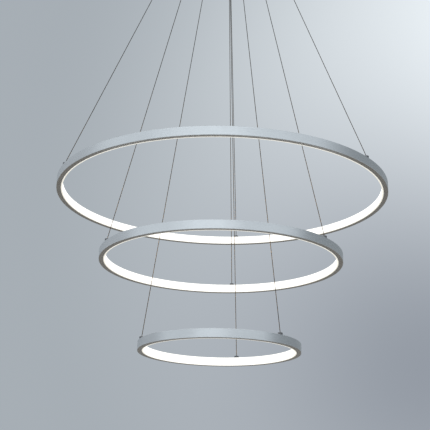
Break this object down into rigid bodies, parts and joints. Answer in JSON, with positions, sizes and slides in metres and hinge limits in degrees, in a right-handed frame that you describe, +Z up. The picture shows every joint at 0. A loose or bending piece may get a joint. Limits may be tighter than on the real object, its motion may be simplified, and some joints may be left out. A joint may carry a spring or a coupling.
{
  "type": "ring chandelier",
  "caption": "Pendant light of level glowing aluminium rings, smaller towards the bottom, hung on thin wires from a round ceiling canopy; each ring slides up or down.",
  "frame": {"origin": "on the ceiling plane, at the centre of the canopy, midway between the two ceiling bolts", "axes": "+Z up into the ceiling, along the rings' common axis; +X along the ceiling bracket; +Y towards the first wires of the two upper rings"},
  "size_m": [0.7999, 0.7999, 1.144],
  "materials": {
    "ring_aluminium": "satin silver anodised",
    "joiner_aluminium": "plain extruded",
    "diffuser": "milky, lit from behind",
    "led_tape": "white solder mask",
    "wire_jacket": "clear jacket over fine metal strands",
    "chrome": "bright plated",
    "zinc_steel": "zinc plated",
    "crimp_steel": "crimped, plain",
    "earth_brass": "plain",
    "canopy_paint": "satin silver paint",
    "driver_plastic": "fine texture",
    "terminal_plastic": "plain"
  },
  "bodies": {
    "canopy": {"ceiling_bracket": "zinc_steel", "canopy_pan": "canopy_paint", "canopy_side_screws": "chrome", "led_driver": "driver_plastic", "driver_nuts": "zinc_steel", "terminal_block": "terminal_plastic", "terminal_screws": "zinc_steel", "terminal_fixing_screw": "zinc_steel", "earth_screw": "earth_brass", "wire_grippers": "chrome", "gripper_nuts": "zinc_steel", "large_wire_a": "wire_jacket", "large_wire_b": "wire_jacket", "large_wire_c": "wire_jacket", "middle_wire_a": "wire_jacket", "middle_wire_b": "wire_jacket", "middle_wire_c": "wire_jacket", "small_wire_a": "wire_jacket", "small_wire_b": "wire_jacket", "small_wire_c": "wire_jacket"},
    "large_ring": {"large_channel": "ring_aluminium", "large_diffuser": "diffuser", "large_led_tape": "led_tape", "large_joiner": "joiner_aluminium", "large_grub_screws": "zinc_steel", "large_wire_sockets": "chrome", "large_socket_nuts": "zinc_steel", "large_wire_stops": "crimp_steel"},
    "middle_ring": {"middle_channel": "ring_aluminium", "middle_diffuser": "diffuser", "middle_led_tape": "led_tape", "middle_joiner": "joiner_aluminium", "middle_grub_screws": "zinc_steel", "middle_wire_sockets": "chrome", "middle_socket_nuts": "zinc_steel", "middle_wire_stops": "crimp_steel"},
    "small_ring": {"small_channel": "ring_aluminium", "small_diffuser": "diffuser", "small_led_tape": "led_tape", "small_joiner": "joiner_aluminium", "small_grub_screws": "zinc_steel", "small_wire_sockets": "chrome", "small_socket_nuts": "zinc_steel", "small_wire_stops": "crimp_steel"},
    "large_plunger_a": {"large_plunger_a": "chrome"},
    "large_plunger_b": {"large_plunger_b": "chrome"},
    "large_plunger_c": {"large_plunger_c": "chrome"},
    "middle_plunger_a": {"middle_plunger_a": "chrome"},
    "middle_plunger_b": {"middle_plunger_b": "chrome"},
    "middle_plunger_c": {"middle_plunger_c": "chrome"},
    "small_plunger_a": {"small_plunger_a": "chrome"},
    "small_plunger_b": {"small_plunger_b": "chrome"},
    "small_plunger_c": {"small_plunger_c": "chrome"}
  },
  "joints": [
    {"name": "large_ring_height", "type": "slide", "parent": "canopy", "child": "large_ring", "axis": [0, 0, 1], "range_m": [0, 0.3], "deforming": ["large_wire_a", "large_wire_b", "large_wire_c"]},
    {"name": "middle_ring_height", "type": "slide", "parent": "canopy", "child": "middle_ring", "axis": [0, 0, 1], "range_m": [0, 0.35], "deforming": ["middle_wire_a", "middle_wire_b", "middle_wire_c"]},
    {"name": "small_ring_height", "type": "slide", "parent": "canopy", "child": "small_ring", "axis": [0, 0, 1], "range_m": [0, 0.4], "deforming": ["small_wire_a", "small_wire_b", "small_wire_c"]},
    {"name": "large_plunger_a_press", "type": "slide", "parent": "canopy", "child": "large_plunger_a", "axis": [0, 0, 1], "range_m": [0, 0.0015], "stiffness_N_per_m": 200, "springref_m": -0.003},
    {"name": "large_plunger_b_press", "type": "slide", "parent": "canopy", "child": "large_plunger_b", "axis": [0, 0, 1], "range_m": [0, 0.0015], "stiffness_N_per_m": 200, "springref_m": -0.003},
    {"name": "large_plunger_c_press", "type": "slide", "parent": "canopy", "child": "large_plunger_c", "axis": [0, 0, 1], "range_m": [0, 0.0015], "stiffness_N_per_m": 200, "springref_m": -0.003},
    {"name": "middle_plunger_a_press", "type": "slide", "parent": "canopy", "child": "middle_plunger_a", "axis": [0, 0, 1], "range_m": [0, 0.0015], "stiffness_N_per_m": 200, "springref_m": -0.003},
    {"name": "middle_plunger_b_press", "type": "slide", "parent": "canopy", "child": "middle_plunger_b", "axis": [0, 0, 1], "range_m": [0, 0.0015], "stiffness_N_per_m": 200, "springref_m": -0.003},
    {"name": "middle_plunger_c_press", "type": "slide", "parent": "canopy", "child": "middle_plunger_c", "axis": [0, 0, 1], "range_m": [0, 0.0015], "stiffness_N_per_m": 200, "springref_m": -0.003},
    {"name": "small_plunger_a_press", "type": "slide", "parent": "canopy", "child": "small_plunger_a", "axis": [0, 0, 1], "range_m": [0, 0.0015], "stiffness_N_per_m": 200, "springref_m": -0.003},
    {"name": "small_plunger_b_press", "type": "slide", "parent": "canopy", "child": "small_plunger_b", "axis": [0, 0, 1], "range_m": [0, 0.0015], "stiffness_N_per_m": 200, "springref_m": -0.003},
    {"name": "small_plunger_c_press", "type": "slide", "parent": "canopy", "child": "small_plunger_c", "axis": [0, 0, 1], "range_m": [0, 0.0015], "stiffness_N_per_m": 200, "springref_m": -0.003}
  ]
}
